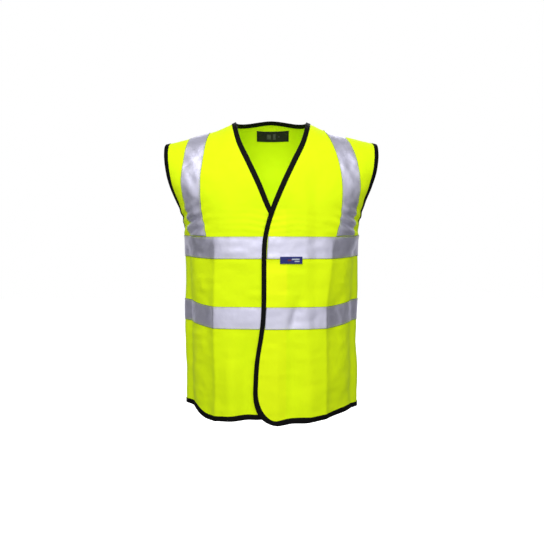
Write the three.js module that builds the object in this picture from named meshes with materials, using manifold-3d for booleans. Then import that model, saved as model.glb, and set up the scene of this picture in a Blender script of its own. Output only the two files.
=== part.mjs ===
// A sleeveless high-visibility safety vest, fastened, in the shape it takes on a body.
//
// Millimetres. +Z is up and +X is the wearer's left. The front faces -Y. The origin lies midway between the two
// neck points, at the tops of the shoulder seams, which is what the vest hangs from.
//
// Every layer of cloth is drawn flat and then bent, as a tailor works. A Cloth is a grid of points on the body form,
// each with its place in a flat pattern. A sheet is a plate over that pattern, cut to its outline while flat
// and bent onto the grid afterwards, so layers that are cut differently stay parallel and never meet.
import * as THREE from "three";
import { mergeVertices } from "three/addons/utils/BufferGeometryUtils.js";
import Module from "manifold-3d";

const wasm = await Module();
wasm.setup();

// ---- Driving dimensions -------------------------------------------------------------------------------------

// The body form
const CHEST_HALF_WIDTH = 208;
const SHOULDER_HALF_WIDTH = 296; // of the form, past the armhole's edge
const FRONT_DEPTH = 120; // from the side seams to the front
const BACK_DEPTH = 112;
const SECTION_POWER = 2.5; // 2 is an ellipse, and more is squarer
const SHOULDER_ROUND = 224; // drop from the shoulder over which the form reaches its full depth
const NAPE_ROUND = 144; // the same at the back, where the shoulder blades stand out sooner
const SHOULDER_SLOPE = 0.5;
const SHOULDER_TIP_SLOPE = 0.22;
const SLOPE_CHANGE_X = 115; // where the shoulder starts to level out
const SHOULDER_SOFTNESS = 40; // how gradually the shoulder line bends

// The cut
const NECK_HALF_WIDTH = 85;
const NAPE_DEPTH = 58; // from the shoulder seams to the middle of the back neckline
const NAPE_HUMP = 10; // extra height of the form behind the neck
const NECK_DROP = 212; // from the neck points to the crossing of the V
const ARMHOLE_DROP = 242;
const SHOULDER_LENGTH = 180; // along the seam, from the neck to the armhole
const ARMHOLE_SCOOP = 62; // how far the armhole runs level from the side seam
const ARMHOLE_BULGE = 16; // how far its upper half swells out past the shoulder
const LEFT_LAP = 20; // the left front's edge past the centre line
const RIGHT_LAP = 36;
const EDGE_SWEEP = 20; // how far the left front's edge swings out near the hem
const LEFT_HEM_DROP = 703; // from the neck points to the end of each front's rounded corner
const RIGHT_HEM_DROP = 690;
const LEFT_HEM_RISE = [7, 13, 18]; // over that, near the middle, past the middle and at the side seam
const RIGHT_HEM_RISE = [-5, -8, 14];
const CORNER_WIDTH = 56; // of the rounded front corners
const CORNER_HEIGHT = 74;

// Tapes, binding, labels and fastening
const TAPE_WIDTH = 50;
const UPPER_BAND_DROP = 301; // to the middle of each band, at the front
const LOWER_BAND_DROP = 460;
const UPPER_BAND_RISE = 6; // of each band at the side seams
const LOWER_BAND_RISE = 12;
const BRACE_X_SHOULDER = { left: 148, right: 170 }; // middle of a shoulder brace at the seam, across the chest and at the band
const BRACE_X_CHEST = 184;
const BRACE_X_BAND = 168;
const BINDING_WIDTH = 10;
const NECK_LABEL = { width: 82, height: 24, x: 4, drop: 16 };
const TAB = { width: 50, height: 16, x: 45, overTape: 5 };
const PATCH_WIDTH = 25;
const PATCHES = { middle: { drop: 371, height: 72 }, lower: { drop: 513, height: 40 } };

// Thicknesses and gaps
const FABRIC = 1.2;
const TAPE = 0.8;
const BINDING = 0.8;
const LABEL = 0.6;
const PATCH = 1.2;
const GAP = 0.3; // between any two layers that touch on the real vest
const LAP_GAP = 0.5; // between what is on the two fronts where they overlap
const LAP_FADE = [75, 104]; // from the centre: the lift fades out towards the fold
const LAP_FADE_DROP = [94, 184];

// The fold that each front opens along
const FOLD_X = 130;
const FOLD_DROP = 119; // the flap starts this far below the neck points
const FOLD_GAP = 0.8;

const HALF_FABRIC = FABRIC / 2;
const ON_FABRIC = HALF_FABRIC + GAP; // where a layer that lies on the fabric starts
const LAP_LIFT = 2 * (ON_FABRIC + Math.max(TAPE, BINDING, PATCH)) + LAP_GAP; // of the left front over the right
const HEM_LIMIT = -(Math.max(LEFT_HEM_DROP, RIGHT_HEM_DROP) + 30); // the form's lower end

// ---- The body form ------------------------------------------------------------------------------------------

const { lerp, smoothstep } = THREE.MathUtils;
const power = (v, p) => Math.sign(v) * Math.abs(v) ** p;

// Half the form's width at a height: it widens from the armholes up into the shoulders.
function halfWidth(z) {
  const up = THREE.MathUtils.clamp((z + ARMHOLE_DROP + 4) / (ARMHOLE_DROP - 42), 0, 1);
  return lerp(CHEST_HALF_WIDTH, SHOULDER_HALF_WIDTH, Math.sin((up * Math.PI) / 2) ** 1.5);
}

// Height of the shoulder line over a place across the body, zero at the neck points.
function shoulderLine(x) {
  const level = (d) => Math.hypot(d, SHOULDER_SOFTNESS);
  const far = Math.max(0, Math.abs(x) - SLOPE_CHANGE_X);
  const eased = far ** 2 / (far + SHOULDER_SOFTNESS);
  return SHOULDER_SLOPE * (level(NECK_HALF_WIDTH) - level(x)) + (SHOULDER_SLOPE - SHOULDER_TIP_SLOPE) * eased;
}

// The extra height that the back has behind the neck.
const napeHump = (x) => NAPE_HUMP * Math.max(0, 1 - (x / NECK_HALF_WIDTH) ** 2) ** 1.3;

const SIDES = {
  right_front: { depth: -FRONT_DEPTH, round: SHOULDER_ROUND, top: shoulderLine, lift: () => 0 },
  left_front: { depth: -FRONT_DEPTH, round: SHOULDER_ROUND, top: shoulderLine, lift: lapLift },
  back: { depth: BACK_DEPTH, round: NAPE_ROUND, top: (x) => shoulderLine(x) + napeHump(x), lift: () => 0 },
};

function lapLift(x, z) {
  return LAP_LIFT * (1 - smoothstep(x, ...LAP_FADE)) * smoothstep(-z, ...LAP_FADE_DROP);
}

const SETTLING_PASSES = 12; // a point's width and height depend on each other

// A point of the form. angle is 0 at the middle and a quarter turn at the side seams. down is 0 on the
// shoulder, 1 where the form reaches its full depth, and 2 at its lower end.
function formPoint(side, angle, down) {
  const across = power(Math.sin(angle), 2 / SECTION_POWER);
  const out = power(Math.cos(angle), 2 / SECTION_POWER);
  const arch = (Math.min(down, 1) * Math.PI) / 2;
  const drop = side.round * (1 - Math.cos(arch));
  let x = 0;
  let z = -drop;
  for (let pass = 0; pass < SETTLING_PASSES; pass++) {
    x = halfWidth(z) * across;
    z = side.top(x) - drop;
    if (down > 1) z = lerp(z, HEM_LIMIT, down - 1);
  }
  const y = side.depth * out * Math.sin(arch) + Math.sign(side.depth) * (GAP / 2) - side.lift(x, z);
  return new THREE.Vector3(x, y, z);
}

function formNormal(side, angle, down) {
  const step = 1e-3;
  const across = formPoint(side, angle + step, down).sub(formPoint(side, angle - step, down));
  const up = formPoint(side, angle, down - step).sub(formPoint(side, angle, down + step));
  return across.cross(up).normalize().multiplyScalar(-Math.sign(side.depth));
}

// ---- Cloth: a grid on the form with a flat pattern ------------------------------------------------------------

const COLUMNS = 20;
const SHOULDER_ROWS = 7;
const BODY_ROWS = 4;
const PATTERN_DOME = 1 / 4000; // a slight dome in the flat plates, so that cutting keeps their grid points
const OVERRUN = 30; // how far a cutting line is carried past the cloth's edge

// The weighted sum of a grid's values at three of its points.
function blend(cell, weights, grid, sum) {
  cell.forEach(([j, i], n) => sum.addScaledVector(grid[j][i], weights[n]));
  return sum;
}

const domeAt = (p) => p.lengthSq() * PATTERN_DOME;

// Every triangle of a grid, as three pairs of row and column.
function cellsOf(grid) {
  const cells = [];
  for (let j = 0; j + 1 < grid.length; j++)
    for (let i = 0; i + 1 < grid[j].length; i++)
      cells.push([[j, i], [j + 1, i], [j + 1, i + 1]], [[j, i], [j + 1, i + 1], [j, i + 1]]);
  return cells;
}

// A flat plate over a grid of pattern points, between two heights.
function slab(grid, from, to) {
  const last = { row: grid.length - 1, column: grid[0].length - 1 };
  const index = ([j, i], layer) => (layer * grid.length + j) * grid[0].length + i;
  const position = [from, to].flatMap((height) => grid.flat().flatMap((p) => [p.x, p.y, height + domeAt(p)]));
  const triangles = cellsOf(grid).flatMap(([a, b, c]) => [
    ...[index(a, 1), index(b, 1), index(c, 1)],
    ...[index(a, 0), index(c, 0), index(b, 0)],
  ]);
  const rim = [
    ...Array.from({ length: last.row }, (_, j) => [j, 0]),
    ...Array.from({ length: last.column }, (_, i) => [last.row, i]),
    ...Array.from({ length: last.row }, (_, j) => [last.row - j, last.column]),
    ...Array.from({ length: last.column }, (_, i) => [0, last.column - i]),
  ];
  rim.forEach((a, k) => {
    const b = rim[(k + 1) % rim.length];
    triangles.push(index(a, 0), index(b, 0), index(b, 1), index(a, 0), index(b, 1), index(a, 1));
  });
  return solidOf(position, triangles);
}

// The index of the list's interval that holds a value.
function spanOf(list, value) {
  const next = list.findIndex((v) => v > value);
  return next < 0 ? list.length - 2 : Math.min(Math.max(next - 1, 0), list.length - 2);
}

class Cloth {
  constructor(side) {
    this.side = side;
    this.angles = Array.from({ length: COLUMNS + 1 }, (_, i) => lerp(-Math.PI / 2, Math.PI / 2, i / COLUMNS));
    this.downs = [
      ...Array.from({ length: SHOULDER_ROWS }, (_, j) => j / SHOULDER_ROWS),
      ...Array.from({ length: BODY_ROWS + 1 }, (_, j) => 1 + j / BODY_ROWS),
    ];
    this.points = this.downs.map((d) => this.angles.map((a) => formPoint(side, a, d)));
    this.normals = this.downs.map((d) => this.angles.map((a) => formNormal(side, a, d)));
    this.front = this.points.map((row) => row.map((p) => new THREE.Vector2(p.x, p.z)));
    this.plan = this.points.map((row) => row.map((p) => new THREE.Vector2(p.x, p.y)));
    this.flat = this.flatten();
    this.cells = cellsOf(this.flat);
  }

  // Pattern places: the real distance along the row from the middle, and down the column from the shoulder.
  flatten() {
    const middle = COLUMNS / 2;
    const flat = this.points.map((row) => row.map(() => new THREE.Vector2()));
    this.points.forEach((row, j) => {
      for (let k = 1; k <= middle; k++) {
        const left = middle + k;
        const right = middle - k;
        flat[j][left].x = flat[j][left - 1].x + row[left].distanceTo(row[left - 1]);
        flat[j][right].x = flat[j][right + 1].x - row[right].distanceTo(row[right + 1]);
      }
      if (j) row.forEach((p, i) => (flat[j][i].y = flat[j - 1][i].y - p.distanceTo(this.points[j - 1][i])));
    });
    return flat;
  }

  // The pattern place of what is seen from the front at x, z.
  fromFront(x, z) {
    const { cell, weights } = this.locate(new THREE.Vector2(x, z), this.front);
    return blend(cell, weights, this.flat, new THREE.Vector2());
  }

  // The pattern place of what is seen from above at x, y.
  fromAbove(x, y) {
    const { cell, weights } = this.locate(new THREE.Vector2(x, y), this.plan);
    return blend(cell, weights, this.flat, new THREE.Vector2());
  }

  // The pattern place where one of the grid's columns crosses a height.
  onColumn(i, z) {
    const j = spanOf(this.points.map((row) => -row[i].z), -z);
    const upper = this.points[j][i].z;
    const lower = this.points[j + 1][i].z;
    return this.flat[j][i].clone().lerp(this.flat[j + 1][i], (upper - z) / (upper - lower));
  }

  // The pattern place of a side seam at a height. hand is 1 for the wearer's left and -1 for the right.
  onSeam(hand, z) {
    return this.onColumn(hand > 0 ? COLUMNS : 0, z);
  }

  // The grid triangle that holds a point, and the point's weights there. map gives each grid point's place.
  locate(p, map) {
    let best = { worst: -Infinity };
    for (const cell of this.cells) {
      const [a, b, c] = cell.map(([j, i]) => map[j][i]);
      const area = (b.x - a.x) * (c.y - a.y) - (c.x - a.x) * (b.y - a.y);
      const u = ((b.x - p.x) * (c.y - p.y) - (c.x - p.x) * (b.y - p.y)) / area;
      const v = ((c.x - p.x) * (a.y - p.y) - (a.x - p.x) * (c.y - p.y)) / area;
      const worst = Math.min(u, v, 1 - u - v);
      if (worst > best.worst) best = { worst, cell, weights: [u, v, 1 - u - v] };
      if (worst >= 0) break;
    }
    return best;
  }

  // The whole cloth between two heights off its middle, as a flat solid.
  plate(from, to) {
    return slab(this.flat, from, to);
  }

  // The same carried past the cloth's edges, to cut with.
  cutter(from, to) {
    const shifted = (row, x, y) => row.map((p) => new THREE.Vector2(p.x + x, p.y + y));
    const wide = this.flat.map((row) => [
      ...shifted(row.slice(0, 1), -OVERRUN, 0),
      ...row,
      ...shifted(row.slice(-1), OVERRUN, 0),
    ]);
    return slab([shifted(wide[0], 0, OVERRUN), ...wide, shifted(wide.at(-1), 0, -OVERRUN)], from, to);
  }

  // Bends a flat solid onto the form and returns it as a geometry.
  bend(solid) {
    const mesh = solid.getMesh();
    const position = [];
    for (let k = 0; k < mesh.numVert; k++) {
      const [x, y, z] = mesh.vertProperties.subarray(k * mesh.numProp);
      const { cell, weights } = this.locate(new THREE.Vector2(x, y), this.flat);
      const dome = cell.reduce((sum, [j, i], n) => sum + domeAt(this.flat[j][i]) * weights[n], 0);
      const out = blend(cell, weights, this.normals, new THREE.Vector3());
      const at = blend(cell, weights, this.points, new THREE.Vector3()).addScaledVector(out, z - dome);
      position.push(...at);
    }
    const faces = [...mesh.triVerts];
    return new THREE.BufferGeometry()
      .setAttribute("position", new THREE.Float32BufferAttribute(position, 3))
      .setIndex(this.side.depth < 0 ? faces : faces.reverse()); // the back is bent with its pattern turned over
  }
}

// ---- Solids -----------------------------------------------------------------------------------------------------

function solidOf(position, triangles) {
  return new wasm.Manifold(
    new wasm.Mesh({
      numProp: 3,
      vertProperties: new Float32Array(position),
      triVerts: new Uint32Array(triangles),
    }),
  );
}

// A tall upright prism over an outline in the pattern.
function prism(outline) {
  const tall = 400;
  const shape = new THREE.Shape(outline);
  const made = new THREE.ExtrudeGeometry(shape, { depth: 2 * tall, bevelEnabled: false }).translate(0, 0, -tall);
  made.deleteAttribute("normal");
  made.deleteAttribute("uv");
  const merged = mergeVertices(made, 1e-4);
  return solidOf(merged.attributes.position.array, merged.index.array);
}

// An open line moved sideways in the pattern. Positive distances lie to the right of its direction.
function beside(line, distance) {
  return line.map((p, k) => {
    const ahead = line[Math.min(k + 1, line.length - 1)];
    const behind = line[Math.max(k - 1, 0)];
    const way = ahead.clone().sub(behind).normalize();
    return new THREE.Vector2(p.x + way.y * distance, p.y - way.x * distance);
  });
}

// The line with a straight run added at both ends, so that what follows it passes the cloth's edge.
function overrun(line) {
  const before = line[0].clone().sub(line[1]).setLength(OVERRUN).add(line[0]);
  const after = line.at(-1).clone().sub(line.at(-2)).setLength(OVERRUN).add(line.at(-1));
  return [before, ...line, after];
}

const strip = (line, left, right) => [...beside(line, right), ...beside(line, -left).reverse()];

// A folded binding: two legs and the web that joins them past the edge, with a slot for the fabric.
// inward is 1 if the cloth lies to the right of the line, and -1 if it lies to the left.
function binding(cloth, line, inward) {
  const outer = GAP + BINDING;
  const band = inward > 0 ? strip(line, outer, BINDING_WIDTH) : strip(line, BINDING_WIDTH, outer);
  const slotDepth = 2 * BINDING_WIDTH;
  const slot = inward > 0 ? strip(line, GAP, slotDepth) : strip(line, slotDepth, GAP);
  const thick = ON_FABRIC + BINDING;
  return cloth
    .plate(-thick, thick)
    .intersect(prism(band))
    .subtract(cloth.cutter(-ON_FABRIC, ON_FABRIC).intersect(prism(slot)));
}

// ---- The vest's lines, in the pattern -----------------------------------------------------------------------------

const leftFront = new Cloth(SIDES.left_front);
const rightFront = new Cloth(SIDES.right_front);
const back = new Cloth(SIDES.back);
const FAR = 420; // past any side seam in the pattern

const ontoPattern = (cloth, curve, count) => curve.getPoints(count).map((p) => cloth.fromFront(p.x, p.y));

// The V neckline and front edge down to the rounded corner, then the hem to the side seam. hand is 1 for the
// left front and -1 for the right.
function frontEdge(cloth, hand, lap, sweep, hemDrop, hemRise) {
  const neck = new THREE.SplineCurve(
    [
      [NECK_HALF_WIDTH, 0],
      [0.83 * NECK_HALF_WIDTH, 0.25 * NECK_DROP],
      [0.565 * NECK_HALF_WIDTH, 0.48 * NECK_DROP],
      [0.276 * NECK_HALF_WIDTH, 0.73 * NECK_DROP],
      [0, NECK_DROP],
      [-0.75 * lap, NECK_DROP + 54],
      [-lap, NECK_DROP + 104],
      [-lap - 0.1 * sweep, LOWER_BAND_DROP],
      [-lap - 0.8 * sweep, lerp(LOWER_BAND_DROP, hemDrop - CORNER_HEIGHT, 0.6)],
      [-lap - sweep, hemDrop - CORNER_HEIGHT],
    ].map(([x, drop]) => new THREE.Vector2(hand * x, -drop)),
  );
  const cornerX = -lap - sweep;
  const corner = new THREE.CubicBezierCurve(
    new THREE.Vector2(hand * cornerX, -hemDrop + CORNER_HEIGHT),
    new THREE.Vector2(hand * cornerX, -hemDrop + 0.35 * CORNER_HEIGHT),
    new THREE.Vector2(hand * (cornerX + 0.4 * CORNER_WIDTH), -hemDrop),
    new THREE.Vector2(hand * (cornerX + CORNER_WIDTH), -hemDrop),
  );
  const hem = new THREE.SplineCurve(
    [
      [cornerX + CORNER_WIDTH, hemDrop],
      [0.45 * CHEST_HALF_WIDTH, hemDrop - hemRise[0]],
      [0.78 * CHEST_HALF_WIDTH, hemDrop - hemRise[1]],
      [CHEST_HALF_WIDTH, hemDrop - hemRise[2]],
    ].map(([x, drop]) => new THREE.Vector2(hand * x, -drop)),
  );
  return overrun([
    ...ontoPattern(cloth, neck, 24).slice(0, -1),
    ...ontoPattern(cloth, corner, 6).slice(0, -1),
    ...ontoPattern(cloth, hem, 8),
  ]);
}

// From the side seam up to the shoulder, on the side of the pattern that hand gives.
function armhole(cloth, hand) {
  const side = cloth.onSeam(hand, -ARMHOLE_DROP);
  const tip = hand * (NECK_HALF_WIDTH + SHOULDER_LENGTH);
  const curve = new THREE.CubicBezierCurve(
    side,
    new THREE.Vector2(side.x - hand * ARMHOLE_SCOOP, side.y),
    new THREE.Vector2(tip + hand * ARMHOLE_BULGE, 0.55 * side.y),
    new THREE.Vector2(tip, 0),
  );
  return overrun(curve.getPoints(14));
}

// The back neckline, from the left neck point to the right one: an ellipse in plan.
function napeLine() {
  const steps = 14;
  const line = Array.from({ length: steps + 1 }, (_, k) => {
    const turn = (Math.PI * k) / steps;
    return back.fromAbove(NECK_HALF_WIDTH * Math.cos(turn), NAPE_DEPTH * Math.sin(turn));
  });
  return overrun(line);
}

// The back hem, which meets each front's hem at its side seam.
function backHem() {
  const right = RIGHT_HEM_RISE[2] - RIGHT_HEM_DROP;
  const left = LEFT_HEM_RISE[2] - LEFT_HEM_DROP;
  return overrun(back.angles.map((_, i) => back.onColumn(i, lerp(right, left, i / COLUMNS))));
}

// One edge of a band round the body, at a height over its middle, from one side seam to the other.
function bandEdge(cloth, drop, rise, above) {
  return cloth.angles.map((angle, i) => {
    const aside = cloth === back ? 1 : smoothstep(Math.abs(angle) / (Math.PI / 2), 0.35, 1);
    return cloth.onColumn(i, above - drop + rise * aside);
  });
}

function bandOutline(cloth, drop, rise, margin = 0) {
  const half = TAPE_WIDTH / 2 + margin;
  return [...overrun(bandEdge(cloth, drop, rise, -half)), ...overrun(bandEdge(cloth, drop, rise, half)).reverse()];
}

// The shoulder brace, from the middle of the upper band to the shoulder.
function braceOutline(cloth, hand) {
  const atShoulder = hand > 0 ? BRACE_X_SHOULDER.left : BRACE_X_SHOULDER.right;
  const middle = new THREE.SplineCurve(
    [
      [BRACE_X_BAND, UPPER_BAND_DROP],
      [lerp(BRACE_X_BAND, BRACE_X_CHEST, 0.7), 0.76 * UPPER_BAND_DROP],
      [BRACE_X_CHEST, 0.5 * UPPER_BAND_DROP],
      [lerp(atShoulder, BRACE_X_CHEST, 0.6), 0.25 * UPPER_BAND_DROP],
      [atShoulder, -shoulderLine(atShoulder)],
    ].map(([x, drop]) => new THREE.Vector2(hand * x, -drop)),
  );
  return strip(overrun(ontoPattern(cloth, middle, 10)), TAPE_WIDTH / 2, TAPE_WIDTH / 2);
}

// A piece that looks rectangular from the front, with its middle at x, z.
function rectangle(cloth, x, z, width, height) {
  const steps = 4;
  const edge = (side) =>
    Array.from({ length: steps + 1 }, (_, k) => cloth.fromFront(x + width * (k / steps - 0.5), z + (side * height) / 2));
  return [...edge(-1), ...edge(1).reverse()];
}

// Everything of a front that opens, out to a margin past the fold. hand as above.
function flapOutline(cloth, hand, margin) {
  const steps = 14;
  const fold = Array.from({ length: steps + 1 }, (_, k) =>
    cloth.fromFront(hand * (FOLD_X + margin), lerp(-FOLD_DROP + margin, HEM_LIMIT + 1, k / steps)),
  );
  const far = -hand * FAR;
  const deep = fold[steps].y - FAR;
  return [
    new THREE.Vector2(far, fold[0].y),
    ...fold,
    new THREE.Vector2(fold[steps].x, deep),
    new THREE.Vector2(far, deep),
  ];
}

// ---- Materials ------------------------------------------------------------------------------------------------------

const matte = (color, roughness) => new THREE.MeshStandardMaterial({ color, roughness, metalness: 0 });
const MATERIALS = {
  fabric: matte(0xdcf414, 0.85),
  tape: new THREE.MeshStandardMaterial({ color: 0xd4d2e4, roughness: 0.4, metalness: 0.2 }),
  binding: matte(0x15150f, 0.8),
  neckLabel: matte(0x1c1c20, 0.7),
  tab: matte(0x24308c, 0.6),
  patch: matte(0xd2ea30, 0.95),
};

const vest = new THREE.Group();

function add(name, cloth, solid, material) {
  const mesh = new THREE.Mesh(cloth.bend(solid), MATERIALS[material]);
  mesh.name = name;
  vest.add(mesh);
}

// A cut layer of cloth between two heights over the fabric's middle.
const layer = (cloth, outline, from, to) => cloth.plate(from, to).intersect(prism(outline));

// ---- The back ---------------------------------------------------------------------------------------------------------

const nape = napeLine();
const hemBack = backHem();
const backArmholes = { left: armhole(back, 1), right: armhole(back, -1) };

// The back's outline, moved inwards from its bound edges.
const backOutline = (inset) => [
  ...beside(hemBack, -inset),
  ...beside(backArmholes.left, -inset),
  ...beside(nape, -inset),
  ...beside(backArmholes.right, inset).reverse(),
];

const height = (solid) => solid.boundingBox().max[1];
const inside = BINDING_WIDTH + GAP; // where a tape stops beside a binding
const backInside = prism(backOutline(inside));
const tapeLayer = (cloth, outline, within) =>
  layer(cloth, outline, ON_FABRIC, ON_FABRIC + TAPE).intersect(within);
const brace = (cloth, hand, within) =>
  tapeLayer(cloth, braceOutline(cloth, hand), within)
    .subtract(prism(bandOutline(cloth, UPPER_BAND_DROP, UPPER_BAND_RISE, GAP)))
    .decompose()
    .sort((a, b) => height(b) - height(a))[0];

add("back_panel", back, layer(back, backOutline(0), -HALF_FABRIC, HALF_FABRIC), "fabric");
add("band_upper_back", back, tapeLayer(back, bandOutline(back, UPPER_BAND_DROP, UPPER_BAND_RISE), backInside), "tape");
add("band_lower_back", back, tapeLayer(back, bandOutline(back, LOWER_BAND_DROP, LOWER_BAND_RISE), backInside), "tape");
add("binding_neck_back", back, binding(back, nape, -1), "binding");
add("binding_hem_back", back, binding(back, hemBack, -1), "binding");
for (const [name, hand] of [["left", 1], ["right", -1]]) {
  add(`brace_back_${name}`, back, brace(back, hand, backInside), "tape");
  add(`binding_armhole_back_${name}`, back, binding(back, backArmholes[name], -hand), "binding");
}
const labelPlace = rectangle(back, NECK_LABEL.x, -NECK_LABEL.drop, NECK_LABEL.width, NECK_LABEL.height);
add("neck_label", back, layer(back, labelPlace, -ON_FABRIC - LABEL, -ON_FABRIC), "neckLabel");

// ---- The fronts: a side that stays and a flap that opens ------------------------------------------------------------------

function addFront(name, cloth, hand, lap, sweep, hemDrop, hemRise) {
  const edge = frontEdge(cloth, hand, lap, sweep, hemDrop, hemRise);
  const arm = armhole(cloth, hand);
  const outline = (inset) => [...beside(edge, -hand * inset), ...beside(arm, -hand * inset)];
  const within = prism(outline(inside));
  const flapPart = prism(flapOutline(cloth, hand, -FOLD_GAP / 2));
  const notSide = prism(flapOutline(cloth, hand, FOLD_GAP / 2));
  const split = (label, solid, material) => {
    add(`${label}_side_${name}`, cloth, solid.subtract(notSide), material);
    add(`${label}_flap_${name}`, cloth, solid.intersect(flapPart), material);
  };

  split("front", layer(cloth, outline(0), -HALF_FABRIC, HALF_FABRIC), "fabric");
  split("band_upper", tapeLayer(cloth, bandOutline(cloth, UPPER_BAND_DROP, UPPER_BAND_RISE), within), "tape");
  split("band_lower", tapeLayer(cloth, bandOutline(cloth, LOWER_BAND_DROP, LOWER_BAND_RISE), within), "tape");
  add(`brace_front_${name}`, cloth, brace(cloth, hand, within), "tape");

  const edging = binding(cloth, edge, -hand);
  const [upper, lower] = edging.subtract(notSide).decompose().sort((a, b) => height(b) - height(a));
  add(`binding_neck_front_${name}`, cloth, upper, "binding");
  add(`binding_hem_side_${name}`, cloth, lower, "binding");
  add(`binding_front_edge_${name}`, cloth, edging.intersect(flapPart), "binding");
  add(`binding_armhole_front_${name}`, cloth, binding(cloth, arm, -hand), "binding");
}

addFront("left", leftFront, 1, LEFT_LAP, EDGE_SWEEP, LEFT_HEM_DROP, LEFT_HEM_RISE);
addFront("right", rightFront, -1, RIGHT_LAP, 0, RIGHT_HEM_DROP, RIGHT_HEM_RISE);

// The hook patches lie behind the left front's edge and the loop patches face them on the right front.
for (const [name, patch] of Object.entries(PATCHES)) {
  const x = -LEFT_LAP + BINDING_WIDTH + 2 * GAP + PATCH_WIDTH / 2;
  const place = (cloth) => rectangle(cloth, x, -patch.drop, PATCH_WIDTH, patch.height);
  add(`hook_patch_${name}`, leftFront, layer(leftFront, place(leftFront), -ON_FABRIC - PATCH, -ON_FABRIC), "patch");
  add(`loop_patch_${name}`, rightFront, layer(rightFront, place(rightFront), ON_FABRIC, ON_FABRIC + PATCH), "patch");
}

// The woven tab hangs from the upper band's lower edge.
const tabMiddle = -(UPPER_BAND_DROP + TAPE_WIDTH / 2 - TAB.overTape + TAB.height / 2);
const overTape = ON_FABRIC + TAPE + 2 * GAP;
const tabPlace = rectangle(leftFront, TAB.x, tabMiddle, TAB.width, TAB.height);
add("tab_label", leftFront, layer(leftFront, tabPlace, overTape, overTape + LABEL), "tab");

export default vest;
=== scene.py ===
"""The looks of a sleeveless high-visibility vest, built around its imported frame.

Metres. +Z is up, +X is the wearer's left and the front faces -Y. Every layer is drawn flat, in the pattern
of its cloth, and laid on one creased body form, so fabric, tapes, bindings and thread follow the same folds.
"""

import math

import bpy
import numpy as np
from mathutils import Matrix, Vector
from mathutils.bvhtree import BVHTree
from mathutils.geometry import delaunay_2d_cdt


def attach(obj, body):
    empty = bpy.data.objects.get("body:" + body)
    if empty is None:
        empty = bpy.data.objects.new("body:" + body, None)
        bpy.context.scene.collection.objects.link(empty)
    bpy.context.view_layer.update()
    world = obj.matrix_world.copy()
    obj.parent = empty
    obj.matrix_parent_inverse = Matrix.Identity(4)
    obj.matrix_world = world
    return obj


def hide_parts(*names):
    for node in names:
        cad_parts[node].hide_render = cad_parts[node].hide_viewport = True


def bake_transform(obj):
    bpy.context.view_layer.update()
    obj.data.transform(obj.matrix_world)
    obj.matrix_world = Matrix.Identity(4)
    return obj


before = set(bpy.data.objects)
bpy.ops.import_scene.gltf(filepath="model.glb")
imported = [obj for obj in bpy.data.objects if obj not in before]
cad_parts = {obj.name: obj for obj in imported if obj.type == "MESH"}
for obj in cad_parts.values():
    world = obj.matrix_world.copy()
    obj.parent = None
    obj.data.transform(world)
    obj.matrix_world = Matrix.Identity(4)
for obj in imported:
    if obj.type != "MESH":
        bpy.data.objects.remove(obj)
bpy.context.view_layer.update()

# ---- Driving dimensions, the same as the CAD part's

CHEST_HALF_WIDTH = 0.208
SHOULDER_HALF_WIDTH = 0.296
FRONT_DEPTH = 0.120
BACK_DEPTH = 0.112
SECTION_POWER = 2.5
SHOULDER_ROUND = 0.224
NAPE_ROUND = 0.144
SHOULDER_SLOPE = 0.50
SHOULDER_TIP_SLOPE = 0.22
SLOPE_CHANGE_X = 0.115
SHOULDER_SOFTNESS = 0.040
WIDENING_POWER = 1.5

NECK_HALF_WIDTH = 0.085
NAPE_DEPTH = 0.058
NAPE_HUMP = 0.010
NAPE_HUMP_POWER = 1.3
NECK_DROP = 0.212
ARMHOLE_DROP = 0.242
WIDENING_START_DROP = ARMHOLE_DROP + 0.004
WIDENING_LENGTH = ARMHOLE_DROP - 0.042
SHOULDER_LENGTH = 0.180
ARMHOLE_SCOOP = 0.062
ARMHOLE_BULGE = 0.016
LEFT_LAP = 0.020
RIGHT_LAP = 0.036
EDGE_SWEEP = 0.020
LEFT_HEM_DROP = 0.703
RIGHT_HEM_DROP = 0.690
LEFT_HEM_RISE = (0.007, 0.013, 0.018)
RIGHT_HEM_RISE = (-0.005, -0.008, 0.014)
CORNER_WIDTH = 0.056
CORNER_HEIGHT = 0.074

TAPE_WIDTH = 0.050
BANDS = {"upper": {"drop": 0.301, "rise": 0.006}, "lower": {"drop": 0.460, "rise": 0.012}}
BRACE_X_SHOULDER = {"left": 0.148, "right": 0.170}
BRACE_X_CHEST = 0.184
BRACE_X_BAND = 0.168
BINDING_WIDTH = 0.010
NECK_LABEL = {"width": 0.082, "height": 0.024, "x": 0.004, "drop": 0.016}
TAB = {"width": 0.050, "height": 0.016, "x": 0.045, "over_tape": 0.005}
PATCH_WIDTH = 0.025
PATCHES = {"middle": {"drop": 0.371, "height": 0.072}, "lower": {"drop": 0.513, "height": 0.040}}

FABRIC = 0.0012
TAPE = 0.0008
BINDING = 0.0008
LABEL = 0.0006
PATCH = 0.0012
GAP = 0.0003
LAP_GAP = 0.0005
LAP_FADE = (0.075, 0.104)
LAP_FADE_DROP = (0.094, 0.184)
HALF_FABRIC = FABRIC / 2
ON_FABRIC = HALF_FABRIC + GAP
LAP_LIFT = 2 * (ON_FABRIC + max(TAPE, BINDING, PATCH)) + LAP_GAP
HEM_MARGIN = 0.030
HEM_LIMIT = -(max(LEFT_HEM_DROP, RIGHT_HEM_DROP) + HEM_MARGIN)
LEFT_SEAM_END = LEFT_HEM_RISE[2] - LEFT_HEM_DROP
RIGHT_SEAM_END = RIGHT_HEM_RISE[2] - RIGHT_HEM_DROP

# ---- Small maths


def smoothstep(v, low, high):
    t = np.clip((v - low) / (high - low), 0, 1)
    return t * t * (3 - 2 * t)


def hill(v, middle, spread):
    """1 at the middle, fading to 0 over about twice the spread."""
    return np.exp(-(((v - middle) / spread) ** 2))


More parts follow.
